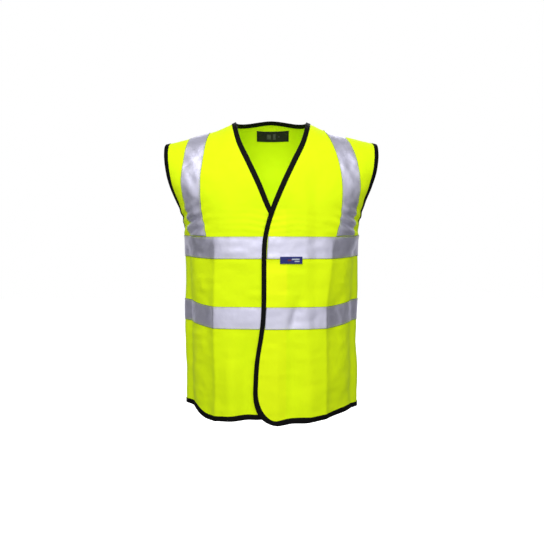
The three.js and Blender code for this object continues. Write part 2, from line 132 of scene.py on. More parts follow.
def turned_in(v, start, width):
    """0 up to start, then a sharp corner and a slope that eases out to 1."""
    return 1 - np.exp(-np.maximum(0, v - start) / width)


def signed_power(v, p):
    return np.sign(v) * np.abs(v) ** p


LATTICE = 32
LATTICE_SEED = 11
lattice = np.random.default_rng(LATTICE_SEED).uniform(-1, 1, (LATTICE, LATTICE, LATTICE))


def noise(x, y, z, size):
    """Smooth noise from -1 to 1 whose features are about size across."""
    place = np.stack([x, y, z]) / size
    cell = np.floor(place).astype(int)
    part = place - cell
    u, v, w = part * part * (3 - 2 * part)
    total = 0
    for i, a in ((0, 1 - u), (1, u)):
        for j, b in ((0, 1 - v), (1, v)):
            for k, c in ((0, 1 - w), (1, w)):
                at = (cell[0] + i) % LATTICE, (cell[1] + j) % LATTICE, (cell[2] + k) % LATTICE
                total = total + a * b * c * lattice[at]
    return total


# ---- The body form


def half_width(z):
    up = np.clip((z + WIDENING_START_DROP) / WIDENING_LENGTH, 0, 1)
    widening = (SHOULDER_HALF_WIDTH - CHEST_HALF_WIDTH) * np.sin(up * np.pi / 2) ** WIDENING_POWER
    return CHEST_HALF_WIDTH + widening


def shoulder_line(x):
    far = np.maximum(0, np.abs(x) - SLOPE_CHANGE_X)
    eased = far**2 / (far + SHOULDER_SOFTNESS)
    level = np.hypot(NECK_HALF_WIDTH, SHOULDER_SOFTNESS) - np.hypot(x, SHOULDER_SOFTNESS)
    return SHOULDER_SLOPE * level + (SHOULDER_SLOPE - SHOULDER_TIP_SLOPE) * eased


def nape_top(x):
    return shoulder_line(x) + NAPE_HUMP * np.maximum(0, 1 - (x / NECK_HALF_WIDTH) ** 2) ** NAPE_HUMP_POWER


def lap_lift(x, z):
    return LAP_LIFT * (1 - smoothstep(x, *LAP_FADE)) * smoothstep(-z, *LAP_FADE_DROP)


def no_lift(x, z):
    return 0 * x


FRONT = {"depth": -FRONT_DEPTH, "round": SHOULDER_ROUND, "top": shoulder_line}
SIDES = {
    "right_front": {**FRONT, "lift": no_lift},
    "left_front": {**FRONT, "lift": lap_lift},
    "back": {"depth": BACK_DEPTH, "round": NAPE_ROUND, "top": nape_top, "lift": no_lift},
}
SETTLING_ROUNDS = 12


def form_points(side, angle, down):
    """Points of the form, and the lift of its lap."""
    across = signed_power(np.sin(angle), 2 / SECTION_POWER)
    out = np.abs(np.cos(angle)) ** (2 / SECTION_POWER)
    arch = np.minimum(down, 1) * np.pi / 2
    drop = side["round"] * (1 - np.cos(arch))
    z = -drop
    for _ in range(SETTLING_ROUNDS):  # a point's width and height depend on each other
        x = half_width(z) * across
        z = side["top"](x) - drop
        z = np.where(down > 1, z + (HEM_LIMIT - z) * (down - 1), z)
    y = side["depth"] * out * np.sin(arch) + np.sign(side["depth"]) * GAP / 2
    return np.stack([x, y, z], axis=-1), side["lift"](x, z)


# ---- Creases and folds


def front_folds(x, z):
    """How far the fronts' folds stand out of the form."""
    below_chest = smoothstep(-z, 0.269, 0.314)
    lower = smoothstep(-z, 0.45, 0.60)
    # The creases where the fronts turn to the sides
    right_crease = 0.131 + 0.002 * np.sin(z * 23)
    left_crease = 0.140 - 0.013 * smoothstep(-z, 0.31, 0.45)
    deeper = 1 + 0.5 * smoothstep(-z, 0.36, 0.45)
    turned = -0.0120 * turned_in(-x, right_crease, 0.019) * below_chest * deeper
    turned = turned - 0.0110 * turned_in(x, left_crease, 0.019) * below_chest * deeper
    # Soft upright folds that open towards the hem
    drape = 0.0070 * hill(x, -0.092, 0.020) - 0.0062 * hill(x, -0.055, 0.018)
    drape = drape + 0.0066 * hill(x, 0.092, 0.022) - 0.0066 * hill(x, 0.048, 0.018)
    drape = drape + 0.0035 * hill(x, 0.012, 0.014)
    # A dent in the lower band, and the folds that run into the armpits
    dent = -0.0060 * hill(x, 0.052 + 0.25 * (z + 0.460), 0.013) * hill(z, -0.454, 0.040)
    crumple = 0
    for hand in (-1, 1):
        slant = hand * x * 0.45 + z + 0.006 * noise(x, 0 * x, z, 0.030)
        ripple = np.sin(slant * 2 * np.pi / 0.026 + hand)
        crumple = crumple + 0.0042 * ripple * hill(hand * x, 0.186, 0.030) * hill(z, -0.242, 0.034)
    # Fine level wrinkles across the chest
    chest = hill(x, 0.0, 0.090) * hill(z, -0.246, 0.030)
    fine = 0.0009 * np.sin(z * 2 * np.pi / 0.014 + 2.5 * noise(x, 0 * x, z, 0.060)) * chest
    # Creases that slant across the tapes, and level wrinkles under the chest
    slanted = 0.0011 * noise(x + 0.5 * z, 0 * x, z - 0.4 * x, 0.018)
    slanted = slanted * hill(np.abs(x), 0.180, 0.040) * smoothstep(-z, 0.05, 0.12)
    level = 0.0008 * noise(0.35 * x, 0 * x, z, 0.012) * smoothstep(-z, 0.20, 0.26)
    return turned + drape * lower + dent + crumple + fine + slanted + level


def back_folds(x, z):
    """How far the back's folds stand out of the form."""
    blades = 0.0040 * (hill(x, -0.085, 0.045) + hill(x, 0.085, 0.045)) * hill(z, -0.170, 0.070)
    spine = -0.0045 * hill(x, 0.004, 0.045) * smoothstep(-z, 0.12, 0.30)
    drape = 0.0038 * np.sin(x * 2 * np.pi / 0.088 + 0.7) * smoothstep(-z, 0.40, 0.66)
    sides = -0.0070 * (turned_in(-x, 0.140, 0.030) + turned_in(x, 0.134, 0.030)) * smoothstep(-z, 0.30, 0.38)
    return blades + spine + drape + sides


def fold_height(points):
    """The folds of the whole vest, the same for every layer at a place."""
    x, y, z = points[..., 0], points[..., 1], points[..., 2]
    on_front = smoothstep(-y, 0.004, 0.040)
    on_back = smoothstep(y, 0.004, 0.040)
    clear_of_shoulder = smoothstep(-z, 0.060, 0.140)
    soft = 0.0030 * noise(x, y, z, 0.075) + 0.0010 * noise(x, y, z, 0.031)
    crisp = 0.00028 * noise(x, y, z, 0.012)
    shared = soft * (0.35 + 0.65 * clear_of_shoulder) + crisp
    return shared + on_front * front_folds(x, z) + on_back * back_folds(x, z)


# ---- Cloth: the form with a flat pattern

COLUMNS = 260
SHOULDER_ROWS = 110
BODY_ROWS = 170


def flat_tree(flat, triangles):
    return BVHTree.FromPolygons([(u, v, 0.0) for u, v in flat.tolist()], triangles.tolist())


class Cloth:
    """One face of the vest: its smooth form, its creased form, and the flat pattern that both share."""

    def __init__(self, name):
        self.side = SIDES[name]
        self.front_facing = self.side["depth"] < 0
        angles = np.linspace(-np.pi / 2, np.pi / 2, COLUMNS + 1)
        shoulder = np.linspace(0, 1, SHOULDER_ROWS, endpoint=False)
        downs = np.concatenate([shoulder, np.linspace(1, 2, BODY_ROWS + 1)])
        grid = np.meshgrid(angles, downs)
        base, lift = form_points(self.side, *grid)
        self.angles = angles
        self.smooth = base.copy()
        self.smooth[..., 1] -= lift
        self.flat = self.flatten(self.smooth)
        place = self.smooth + self.outward(base) * fold_height(base)[..., None]
        self.points = place.reshape(-1, 3)
        self.normals = self.outward(place).reshape(-1, 3)
        self.triangles = self.triangulate(len(downs), len(angles))
        self.tree = flat_tree(self.flat.reshape(-1, 2), self.triangles)
        self.views = {}

    def outward(self, grid):
        across = np.gradient(grid, axis=1)
        up = -np.gradient(grid, axis=0)
        normal = np.cross(across, up) * (1 if self.front_facing else -1)
        return normal / np.maximum(np.linalg.norm(normal, axis=-1, keepdims=True), 1e-12)

    @staticmethod
    def flatten(grid):
        """Pattern places: the real distance along the row from the middle, and down the column."""
        step_across = np.linalg.norm(np.diff(grid, axis=1), axis=-1)
        along = np.concatenate([np.zeros((len(grid), 1)), np.cumsum(step_across, axis=1)], axis=1)
        u = along - along[:, [COLUMNS // 2]]
        step_down = np.linalg.norm(np.diff(grid, axis=0), axis=-1)
        v = -np.concatenate([np.zeros((1, grid.shape[1])), np.cumsum(step_down, axis=0)], axis=0)
        return np.stack([u, v], axis=-1)

    @staticmethod
    def triangulate(rows, columns):
        index = np.arange(rows * columns).reshape(rows, columns)
        a, b = index[:-1, :-1].ravel(), index[1:, :-1].ravel()
        c, d = index[1:, 1:].ravel(), index[:-1, 1:].ravel()
        return np.concatenate([np.stack([a, b, c], 1), np.stack([a, c, d], 1)])

    def weigh(self, tree, flat, places):
        """The triangle that holds each place, and the place's weights there."""
        hits = [tree.find_nearest((u, v, 0.0)) for u, v in places.tolist()]
        corners = self.triangles[[hit[2] for hit in hits]]
        at = np.array([hit[0][:2] for hit in hits])
        a, b, c = (flat[corners[:, k]] for k in range(3))
        area = (b - a)[:, 0] * (c - a)[:, 1] - (b - a)[:, 1] * (c - a)[:, 0]
        u = ((b - at)[:, 0] * (c - at)[:, 1] - (b - at)[:, 1] * (c - at)[:, 0]) / area
        v = ((c - at)[:, 0] * (a - at)[:, 1] - (c - at)[:, 1] * (a - at)[:, 0]) / area
        return corners, np.stack([u, v, 1 - u - v], axis=1)

    def seen(self, axes, places):
        """The pattern places of what is seen at these places from the front, or from above."""
        if axes not in self.views:
            view = self.smooth.reshape(-1, 3)[:, axes]
            self.views[axes] = (flat_tree(view, self.triangles), view)
        tree, view = self.views[axes]
        corners, weights = self.weigh(tree, view, np.asarray(places, float))
        return (self.flat.reshape(-1, 2)[corners] * weights[..., None]).sum(1)

    def from_front(self, places):
        return self.seen((0, 2), places)

    def at_height(self, column, z):
        """The pattern place where a grid column crosses a height."""
        heights = -self.smooth[:, column, 2]
        return np.array([np.interp(-z, heights, self.flat[:, column, k]) for k in range(2)])

    def lay(self, places, heights):
        """The points of the creased cloth at pattern places, at heights over its middle."""
        corners, weights = self.weigh(self.tree, self.flat.reshape(-1, 2), places)
        at = (self.points[corners] * weights[..., None]).sum(1)
        out = (self.normals[corners] * weights[..., None]).sum(1)
        out /= np.linalg.norm(out, axis=1, keepdims=True)
        return at + out * np.broadcast_to(heights, len(at))[:, None]


CLOTHS = {name: Cloth(name) for name in SIDES}
left_front, right_front, back = CLOTHS["left_front"], CLOTHS["right_front"], CLOTHS["back"]

# ---- Lines in the pattern


EDGE_STEP = 0.003


def spline(points, count):
    """A smooth curve through points, with an even parameter from each to the next."""
    p = np.asarray(points, float)
    p = np.concatenate([p[:1], p, p[-1:]])
    t = np.linspace(0, len(points) - 1, count)
    k = np.minimum(t.astype(int), len(points) - 2)
    w = (t - k)[:, None]
    a, b, c, d = (p[k + n] for n in range(4))
    return 0.5 * (2 * b + (c - a) * w + (2 * a - 5 * b + 4 * c - d) * w**2 + (3 * b - a - 3 * c + d) * w**3)


def bezier(a, b, c, d, count):
    t = np.linspace(0, 1, count)[:, None]
    a, b, c, d = (np.asarray(p, float) for p in (a, b, c, d))
    return (1 - t) ** 3 * a + 3 * t * (1 - t) ** 2 * b + 3 * t**2 * (1 - t) * c + t**3 * d


def line_length(line):
    return float(np.linalg.norm(np.diff(line, axis=0), axis=1).sum())


def resample(line, count):
    steps = np.concatenate([[0], np.cumsum(np.linalg.norm(np.diff(line, axis=0), axis=1))])
    keep = np.concatenate([[True], np.diff(steps) > 1e-9])
    at = np.linspace(0, steps[-1], count)
    return np.stack([np.interp(at, steps[keep], line[keep, k]) for k in range(line.shape[1])], axis=1)


def evenly(line, step):
    return resample(line, max(2, round(line_length(line) / step) + 1))


def to_the_right(line):
    """The unit direction to the right of a line, at each of its points."""
    way = np.gradient(line, axis=0)
    way /= np.linalg.norm(way, axis=1, keepdims=True)
    return np.stack([way[:, 1], -way[:, 0]], axis=1)


def beside(line, distance):
    return line + to_the_right(line) * distance


def front_edge(cloth, hand, lap, sweep, hem_drop, hem_rise):
    """The V neckline, the front edge, the rounded corner and the hem to the side seam."""
    corner_x = -lap - sweep
    corner_drop = hem_drop - CORNER_HEIGHT
    lower = BANDS["lower"]["drop"]
    neck = spline(
        [
            (NECK_HALF_WIDTH, 0),
            (0.83 * NECK_HALF_WIDTH, -0.25 * NECK_DROP),
            (0.565 * NECK_HALF_WIDTH, -0.48 * NECK_DROP),
            (0.276 * NECK_HALF_WIDTH, -0.73 * NECK_DROP),
            (0, -NECK_DROP),
            (-0.75 * lap, -NECK_DROP - 0.054),
            (-lap, -NECK_DROP - 0.104),
            (-lap - 0.1 * sweep, -lower),
            (-lap - 0.8 * sweep, -lower - 0.6 * (corner_drop - lower)),
            (corner_x, -corner_drop),
        ],
        300,
    )
    corner = bezier(
        (corner_x, -corner_drop),
        (corner_x, -hem_drop + 0.35 * CORNER_HEIGHT),
        (corner_x + 0.4 * CORNER_WIDTH, -hem_drop),
        (corner_x + CORNER_WIDTH, -hem_drop),
        60,
    )
    hem = spline(
        [
            (corner_x + CORNER_WIDTH, -hem_drop),
            (0.45 * CHEST_HALF_WIDTH, -hem_drop + hem_rise[0]),
            (0.78 * CHEST_HALF_WIDTH, -hem_drop + hem_rise[1]),
            (CHEST_HALF_WIDTH, -hem_drop + hem_rise[2]),
        ],
        120,
    )
    drawn = np.concatenate([neck[:-1], corner[:-1], hem]) * (hand, 1)
    return evenly(cloth.from_front(drawn), EDGE_STEP)


def seam_column(hand):
    return COLUMNS if hand > 0 else 0


def armhole(cloth, hand):
    """From the side seam up to the shoulder."""
    start = cloth.at_height(seam_column(hand), -ARMHOLE_DROP)
    tip = hand * (NECK_HALF_WIDTH + SHOULDER_LENGTH)
    curve = bezier(
        start,
        (start[0] - hand * ARMHOLE_SCOOP, start[1]),
        (tip + hand * ARMHOLE_BULGE, 0.55 * start[1]),
        (tip, 0),
        160,
    )
    return evenly(curve, EDGE_STEP)


def nape_line():
    """The back neckline, from the left neck point to the right one: an ellipse in plan."""
    turn = np.linspace(0, np.pi, 120)
    plan = np.stack([NECK_HALF_WIDTH * np.cos(turn), NAPE_DEPTH * np.sin(turn)], 1)
    return evenly(back.seen((0, 1), plan), EDGE_STEP)


def back_hem():
    heights = np.linspace(RIGHT_SEAM_END, LEFT_SEAM_END, COLUMNS + 1)
    return evenly(np.array([back.at_height(i, z) for i, z in enumerate(heights)]), EDGE_STEP)


BAND_RISE_FROM = 0.35  # the share of the way to the side seam where a front band starts to rise


def band_edge(cloth, band, above):
    """A line round the body at a height over the band's middle."""
    aside = 1 if cloth is back else smoothstep(np.abs(cloth.angles) / (np.pi / 2), BAND_RISE_FROM, 1)
    heights = above - band["drop"] + band["rise"] * aside * np.ones(COLUMNS + 1)
    return np.array([cloth.at_height(i, z) for i, z in enumerate(heights)])


def inside(polygon, places):
    """True for each place that lies in the polygon."""
    x, y = places[:, 0], places[:, 1]
    found = np.zeros(len(places), bool)
    for (ax, ay), (bx, by) in zip(polygon, np.roll(polygon, -1, axis=0)):
        if ay != by:
            crossing = (ay > y) != (by > y)
            found ^= crossing & (x < (bx - ax) * (y - ay) / (by - ay) + ax)
    return found


# ---- Meshes


def make_mesh(name, points, faces, places, material):
    """A smooth mesh whose UV map is its place in the pattern, in metres."""
    mesh = bpy.data.meshes.new(name)
    mesh.from_pydata(points.tolist(), [], faces)
    layer = mesh.uv_layers.new(name="pattern")
    corner_points = np.zeros(len(mesh.loops), int)
    mesh.loops.foreach_get("vertex_index", corner_points)
    layer.data.foreach_set("uv", places[corner_points].astype(np.float32).ravel())
    mesh.polygons.foreach_set("use_smooth", np.ones(len(mesh.polygons), bool))
    mesh.materials.append(material)
    mesh.validate()
    mesh.update()
    obj = bpy.data.objects.new(name, mesh)
    bpy.context.scene.collection.objects.link(obj)
    return obj


def fill(outline, step):
    """Points and triangles that fill an outline in the pattern."""
    low, high = outline.min(0), outline.max(0)
    rows = np.arange(low[1] + step / 2, high[1], step * 0.87)
    grid = np.concatenate(
        [
            np.stack([np.arange(low[0] + step * (0.25 + 0.5 * (k % 2)), high[0], step), np.full(
                len(np.arange(low[0] + step * (0.25 + 0.5 * (k % 2)), high[0], step)), v)], 1)
            for k, v in enumerate(rows)
        ]
    )
    grid = grid[inside(outline, grid)]
    nearest = np.concatenate(
        [
            np.min(np.hypot(*(part[:, None] - outline[None]).transpose(2, 0, 1)), axis=1)
            for part in np.array_split(grid, 40)
        ]
    )
    grid = grid[nearest > 0.6 * step]
    places = np.concatenate([outline, grid])
    border = [(k, (k + 1) % len(outline)) for k in range(len(outline))]
    corners = [Vector(p) for p in places.tolist()]
    found = delaunay_2d_cdt(corners, border, [list(range(len(outline)))], 1, 1e-7)
    return np.array([tuple(p) for p in found[0]]), np.array(found[2])


def closed_sheet(name, cloth, outline, low, high, material, step=0.0040):
    """A closed plate of cloth over an outline in the pattern."""
    places, triangles = fill(outline, step)
    a, b, c = (places[triangles[:, k]] for k in range(3))
    turn = (b - a)[:, 0] * (c - a)[:, 1] - (b - a)[:, 1] * (c - a)[:, 0]
    wrong = turn < 0 if cloth.front_facing else turn > 0
    triangles[wrong] = triangles[wrong][:, ::-1]
    count = len(places)
    edges = {}  # a dictionary, because it keeps its order
    for t in triangles.tolist():
        for k in range(3):
            edges[(t[k], t[(k + 1) % 3])] = True
    rim = [(p, q) for p, q in edges if (q, p) not in edges]
    faces = triangles.tolist() + (triangles[:, ::-1] + count).tolist()
    faces += [(q, p, p + count, q + count) for p, q in rim]
    points = np.concatenate([cloth.lay(places, high), cloth.lay(places, low)])
    return make_mesh(name, points, faces, np.concatenate([places, places]), material)


def loft(name, cloth, starts, ways, outer, inner, material, pucker=None):
    """A strip with the section between two paths. A path's points are (share of the way, height)."""
    ring = np.array(list(outer) + list(inner)[::-1])
    stations, around, half = len(starts), len(ring), len(outer)
    places = (starts[:, None] + ways[:, None] * ring[None, :, :1]).reshape(-1, 2)
    heights = np.tile(ring[:, 1], stations)
    if pucker is not None:
        outside = np.tile(np.arange(around) < half, stations)
        heights = heights + np.where(outside, pucker(places), 0)
    points = cloth.lay(places, heights)
    index = np.arange(stations * around).reshape(stations, around)
    after = np.roll(index, -1, axis=1)
    faces = np.stack([index[:-1], after[:-1], after[1:], index[1:]], -1).reshape(-1, 4).tolist()
    for row, ahead in ((index[0], False), (index[-1], True)):
        for k in range(half - 1):
            cap = [row[k], row[around - 1 - k], row[around - 2 - k], row[k + 1]]
            faces.append([int(n) for n in (cap[::-1] if ahead else cap)])
    obj = make_mesh(name, points, faces, places, material)
    face_outwards(obj)
    return obj


def face_outwards(obj):
    """Turns a closed mesh's faces over if its volume comes out negative."""
    mesh = obj.data
    mesh.calc_loop_triangles()
    points = np.array([v.co for v in mesh.vertices])
    corners = np.array([t.vertices for t in mesh.loop_triangles])
    a, b, c = (points[corners[:, k]] for k in range(3))
    if (a * np.cross(b, c)).sum() < 0:
        mesh.flip_normals()


RIM_THICKNESS = 0.35  # of the whole, at the very edge of a flat strip
RIM_SUPPORT = 1.8  # a further line of points beside the rim, which keeps the shading flat up to it


def flat_section(low, high, across, round_share):
    """The section of a flat strip: two paths over its width, with eased edges."""
    rim = np.array([0, round_share, RIM_SUPPORT * round_share])
    shares = np.concatenate([rim, np.linspace(0, 1, across)[1:-1], 1 - rim[::-1]])
    ease = np.ones(len(shares))
    ease[[0, -1]] = RIM_THICKNESS
    middle, half = (low + high) / 2, (high - low) / 2
    outer = [(s, middle + half * e) for s, e in zip(shares, ease)]
    inner = [(s, middle - half * e) for s, e in zip(shares, ease)]
    return outer, inner


FOLD_POINTS = 9
LEG_POINTS = 5


def folded_section():
    """The section of a binding: two legs joined by a round fold past the fabric's edge."""
    turn = np.linspace(np.pi / 2, 3 * np.pi / 2, FOLD_POINTS)
    leg = np.linspace(BINDING_WIDTH, 0, LEG_POINTS)
    paths = []
    for height, past in ((ON_FABRIC + BINDING, GAP + BINDING), (ON_FABRIC, GAP)):
        fold = [(past * math.cos(t), height * math.sin(t)) for t in turn]
        upper = [(s, height) for s in leg[:-1]]
        paths.append(upper + fold + [(s, -h) for s, h in upper[::-1]])
    return paths


# ---- Stitches

STITCH = {"pitch": 0.0032, "length": 0.0026, "radius": 0.00028, "sides": 5}
STITCH_RINGS = ((-0.40, 0.65), (0.0, 1.0), (0.40, 0.65))


def stitches(name, runs, material):
    """Threads that lie along lines in the pattern. A run is (cloth, line, height)."""
    points, places, faces, total = [], [], [], 0
    sides = STITCH["sides"]
    for cloth, line, height in runs:
        pitch = STITCH["pitch"]
        count = int(line_length(line) / pitch)
        if count < 2:
            continue
        marks = resample(line, 2 * count + 1)
        laid = cloth.lay(marks, height)
        middle = laid[1::2]
        way = laid[2::2] - laid[:-1:2]
        way /= np.linalg.norm(way, axis=1, keepdims=True)
        above = cloth.lay(marks[1::2], height + 0.001) - middle
        above /= np.linalg.norm(above, axis=1, keepdims=True)
        aside = np.cross(way, above)
        ring = []
        for along, wide in STITCH_RINGS:
            for k in range(sides):
                turn = 2 * math.pi * k / sides
                reach = STITCH["radius"] * wide
                ring.append(
                    middle
                    + way * along * STITCH["length"]
                    + aside * reach * math.cos(turn)
                    + above * reach * math.sin(turn)
                )
        ring.append(middle - way * STITCH["length"] / 2)
        ring.append(middle + way * STITCH["length"] / 2)
        each = len(ring)
        points.append(np.stack(ring, axis=1).reshape(-1, 3))
        places.append(np.repeat(marks[1::2], each, axis=0))
        tail, head = each - 2, each - 1
        shape = []
        for k in range(sides):
            n = (k + 1) % sides
            shape.append((tail, n, k))
            for r in range(len(STITCH_RINGS) - 1):
                low = r * sides
                shape.append((low + k, low + n, low + sides + n, low + sides + k))
            top = (len(STITCH_RINGS) - 1) * sides
            shape.append((top + k, top + n, head))
        for s in range(count):
            base = total + s * each
            faces.extend([tuple(base + n for n in f) for f in shape])
        total += count * each
    obj = make_mesh(name, np.concatenate(points), faces, np.concatenate(places), material)
    face_outwards(obj)
    return obj


# ---- Materials


RIB_SCALE = 0.3183


class Shader:
    """A Principled material whose nodes are added one by one."""

    def __init__(self, name, **sockets):
        self.material = bpy.data.materials.new(name)
        self.material.use_nodes = True
        self.tree = self.material.node_tree
        self.surface = self.tree.nodes["Principled BSDF"]
        for key, value in sockets.items():
            self.surface.inputs[key.replace("_", " ")].default_value = value

    def node(self, kind, links=(), **settings):
        made = self.tree.nodes.new("ShaderNode" + kind)
        for key, value in settings.items():
            if hasattr(made, key):
                setattr(made, key, value)
            else:
                made.inputs[key.replace("_", " ")].default_value = value
        for socket, source in dict(links).items():
            self.tree.links.new(source, made.inputs[socket])
        return made

    def pattern(self, scale):
        """The place in the pattern, in units of 1 / scale metres."""
        uv = self.node("UVMap", uv_map="pattern")
        return self.node("Mapping", {"Vector": uv.outputs[0]}, Scale=(scale, scale, scale)).outputs[0]

    def noise(self, scale, detail=3.0):
        """Soft noise over the object, with scale features to the metre."""
        place = self.node("TexCoord").outputs["Object"]
        return self.node("TexNoise", {"Vector": place}, Scale=scale, Detail=detail).outputs["Fac"]

    def ribs(self, direction, where):
        """Ribs whose pitch is about one unit of the place given."""
        wave = self.node("TexWave", {"Vector": where}, bands_direction=direction, Scale=RIB_SCALE)
        return wave.outputs["Fac"]

    def spread(self, value, low, high):
        """A value from 0 to 1, spread from low to high."""
        made = self.node("MapRange", {"Value": value})
        made.inputs["To Min"].default_value = low
        made.inputs["To Max"].default_value = high
        return made.outputs["Result"]

    def maths(self, operation, a, b):
        made = self.node("Math", operation=operation)
        for k, value in enumerate((a, b)):
            if isinstance(value, (int, float)):
                made.inputs[k].default_value = value
            else:
                self.tree.links.new(value, made.inputs[k])
        return made.outputs[0]

    def mix(self, factor, a, b):
        made = self.node("Mix", {0: factor}, data_type="RGBA")
        for k, value in ((6, a), (7, b)):
            if isinstance(value, tuple):
                made.inputs[k].default_value = (*value, 1)
            else:
                self.tree.links.new(value, made.inputs[k])
        return made.outputs[2]

    def bump(self, height, strength, distance, normal=None):
        links = {"Height": height}
        if normal is not None:
            links["Normal"] = normal
        return self.node("Bump", links, Strength=strength, Distance=distance).outputs[0]

    def drive(self, socket, source):
        self.tree.links.new(source, self.surface.inputs[socket])


def fabric_material():
    """Fluorescent knit. It has painted light, a brighter colour, where the vest holds another layer behind
    it.
    """
    plain, bright = (0.70, 0.93, 0.003), (0.80, 0.97, 0.006)
    # The second colour here is painted light: the fabric drawn brighter where another layer lies behind it
    between_threads, doubled_painted_light = (0.55, 0.78, 0.004), (0.98, 1.0, 0.010)
    s = Shader(
        "hi_vis_fabric",
        Sheen_Weight=0.04,
        Sheen_Roughness=0.5,
        Specular_IOR_Level=0.10,
        # The emission is painted light: a faint even glow that stands in for the knit's fluorescence
        Emission_Color=(0.60, 1.0, 0.0, 1),
        Emission_Strength=0.10,
    )
    knit = s.pattern(900)
    weave = s.maths("MULTIPLY", s.ribs("X", knit), s.ribs("Y", knit))
    mottle = s.noise(14, 4)
    base = s.mix(s.spread(mottle, 0.1, 0.9), plain, bright)
    knitted = s.mix(s.spread(weave, 0.0, 0.10), base, between_threads)
    # Painted light: the mask of where the fabric is drawn brighter, over another layer
    backed_painted_light = s.node("Attribute", attribute_name="backed_painted_light").outputs["Fac"]
    s.drive("Base Color", s.mix(s.spread(backed_painted_light, 0.0, 0.55), knitted, doubled_painted_light))
    s.drive("Roughness", s.spread(s.noise(60), 0.66, 0.84))
    crumple = s.bump(s.noise(48, 6), 0.42, 0.0020)
    s.drive("Normal", s.bump(weave, 0.25, 0.00025, crumple))
    return s.material


def tape_material():
    """Silver tape: a beaded, slightly cloudy metal film whose cut edges are drawn darker, partly their own
    colour and partly painted shade.
    """
    silver, pale_silver = (0.76, 0.75, 0.95), (0.86, 0.85, 1.0)
    between_beads, cut_edge_and_shade = (0.60, 0.58, 0.74), (0.20, 0.19, 0.25)
    s = Shader("reflective_tape", Metallic=0.74)
    grain = s.node("TexVoronoi", {"Vector": s.pattern(1400)}, Scale=1.0).outputs["Distance"]
    cloudy = s.noise(26, 5)
    base = s.mix(s.spread(cloudy, 0.0, 1.0), silver, pale_silver)
    beaded = s.mix(s.spread(grain, 0.0, 0.12), base, between_beads)
    # Painted shade along the tape's rim, over the cut edge's own darker colour: it stands in for the shade
    # where the edge turns away and the thread sinks
    rim = s.node("Attribute", attribute_name="rim").outputs["Fac"]
    s.drive("Base Color", s.mix(rim, beaded, cut_edge_and_shade))
    s.drive("Roughness", s.spread(s.noise(90), 0.38, 0.54))
    crease = s.bump(s.noise(34, 6), 0.50, 0.0028)
    s.drive("Normal", s.bump(grain, 0.10, 0.0002, crease))
    return s.material


def woven_material(name, dark, light, ribs, **sockets):
    """A woven narrow ware: ribs across it, with a little change of colour along it."""
    s = Shader(name, **sockets)
    place = s.pattern(ribs)
    rib = s.maths("MULTIPLY", s.ribs("X", place), s.ribs("Y", place))
    uneven = s.maths("MULTIPLY", rib, s.spread(s.noise(80), 0.4, 1.0))
    s.drive("Base Color", s.mix(uneven, dark, light))
    s.drive("Roughness", s.spread(s.noise(150), 0.60, 0.85))
    s.drive("Normal", s.bump(rib, 0.35, 0.0003))
    return s.material


def patch_material():
    """Hook-and-loop tape: dull fuzz."""
    shaded, lit = (0.50, 0.68, 0.020), (0.78, 0.95, 0.060)
    s = Shader("hook_and_loop", Sheen_Weight=0.4, Sheen_Roughness=0.6, Specular_IOR_Level=0.2)
    fuzz = s.noise(1400, 3)
    s.drive("Base Color", s.mix(fuzz, shaded, lit))
    s.drive("Roughness", s.spread(s.noise(200), 0.80, 0.98))
    s.drive("Normal", s.bump(fuzz, 0.7, 0.0006))
    return s.material


# Each woven ware: its colour between the ribs and on them, and its ribs to the metre
WOVEN = {
    "black_label": ((0.006, 0.006, 0.007), (0.020, 0.020, 0.024), 2200),
    "navy_label": ((0.012, 0.018, 0.150), (0.030, 0.045, 0.300), 2200),
    "label_grey": ((0.06, 0.06, 0.07), (0.16, 0.16, 0.18), 2600),
    "label_red": ((0.16, 0.02, 0.03), (0.34, 0.06, 0.06), 2600),
    "label_pale": ((0.40, 0.46, 0.52), (0.66, 0.72, 0.76), 2600),
    "yellow_thread": ((0.55, 0.74, 0.010), (0.80, 0.98, 0.020), 3000),
    "black_thread": ((0.003, 0.003, 0.003), (0.012, 0.012, 0.010), 3000),
}
BLACK_BINDING = ((0.0015, 0.0015, 0.0015), (0.0070, 0.0070, 0.0060), 1200)
MATERIALS = {
    "hi_vis_fabric": fabric_material(),
    "reflective_tape": tape_material(),
    "black_binding": woven_material("black_binding", *BLACK_BINDING, Specular_IOR_Level=0.12),
    "hook_and_loop": patch_material(),
}
MATERIALS.update({name: woven_material(name, *ware) for name, ware in WOVEN.items()})

# ---- Joining pieces to the frame


def settle(obj, body="body", nodes=()):
    """Hides a piece's nodes and attaches the piece to its body. A piece between two bodies is left
    unattached, with its place baked into its points.
    """
    if nodes:
        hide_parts(*nodes)
    if isinstance(body, tuple):
        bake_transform(obj)
    else:
        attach(obj, body)
    return obj


TAPE_PUCKER = {"height": 0.00022, "size": 0.011}
TAPE_SECTION = {"across": 14, "round_share": 0.012}
TAPE_STITCH_INSET = 0.0028
BINDING_STITCH_INSET = 0.0016
ON_TAPE_THREAD = 0.0003  # how far a row of stitches stands over a tape, and over other layers
ON_CLOTH_THREAD = 0.0002
SMALL_ROUND_SHARE = 0.04


def tape_pucker(places):
    """Tape that is sewn at both edges lifts a little between them."""
    x, y = places.T
    return TAPE_PUCKER["height"] * (1 + noise(x, y, 0 * x, TAPE_PUCKER["size"]))


def mark_shaded_rim(obj, around):
    """Stores where a tape's cut edges are, which its material paints darker: partly their own colour, partly
    painted shade. around is how many points its section has.
    """
    place = np.arange(len(obj.data.vertices)) % (around // 2)
    rim = (place < 2) | (place > around // 2 - 3)
    store = obj.data.attributes.new("rim", "FLOAT", "POINT")
    store.data.foreach_set("value", rim.astype(np.float32))


